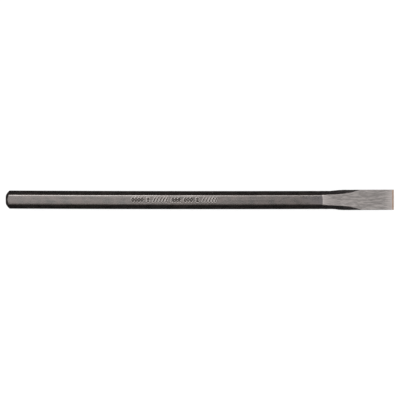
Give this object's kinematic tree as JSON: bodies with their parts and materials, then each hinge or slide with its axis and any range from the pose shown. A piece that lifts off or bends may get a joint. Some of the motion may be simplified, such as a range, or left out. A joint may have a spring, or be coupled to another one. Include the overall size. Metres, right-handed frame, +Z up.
{
  "type": "cold chisel",
  "caption": "Hexagonal steel bar with a crowned head to strike and a forged, ground and bevelled flat blade, for cutting and chipping cold metal.",
  "frame": {"origin": "on the flat that the tool lies on, below the middle of its box", "axes": "+X along the bar from the struck head to the cutting edge, +Z up out of the stamped flat, +Y across the blade"},
  "size_m": [0.3048, 0.016, 0.0127],
  "materials": {
    "blackened_steel": "tool steel, heat-blackened on the bar and head, bright ground on the blade, straw-tinted on the bevels"
  },
  "bodies": {
    "root": {"chisel_body": "blackened_steel"}
  },
  "joints": []
}
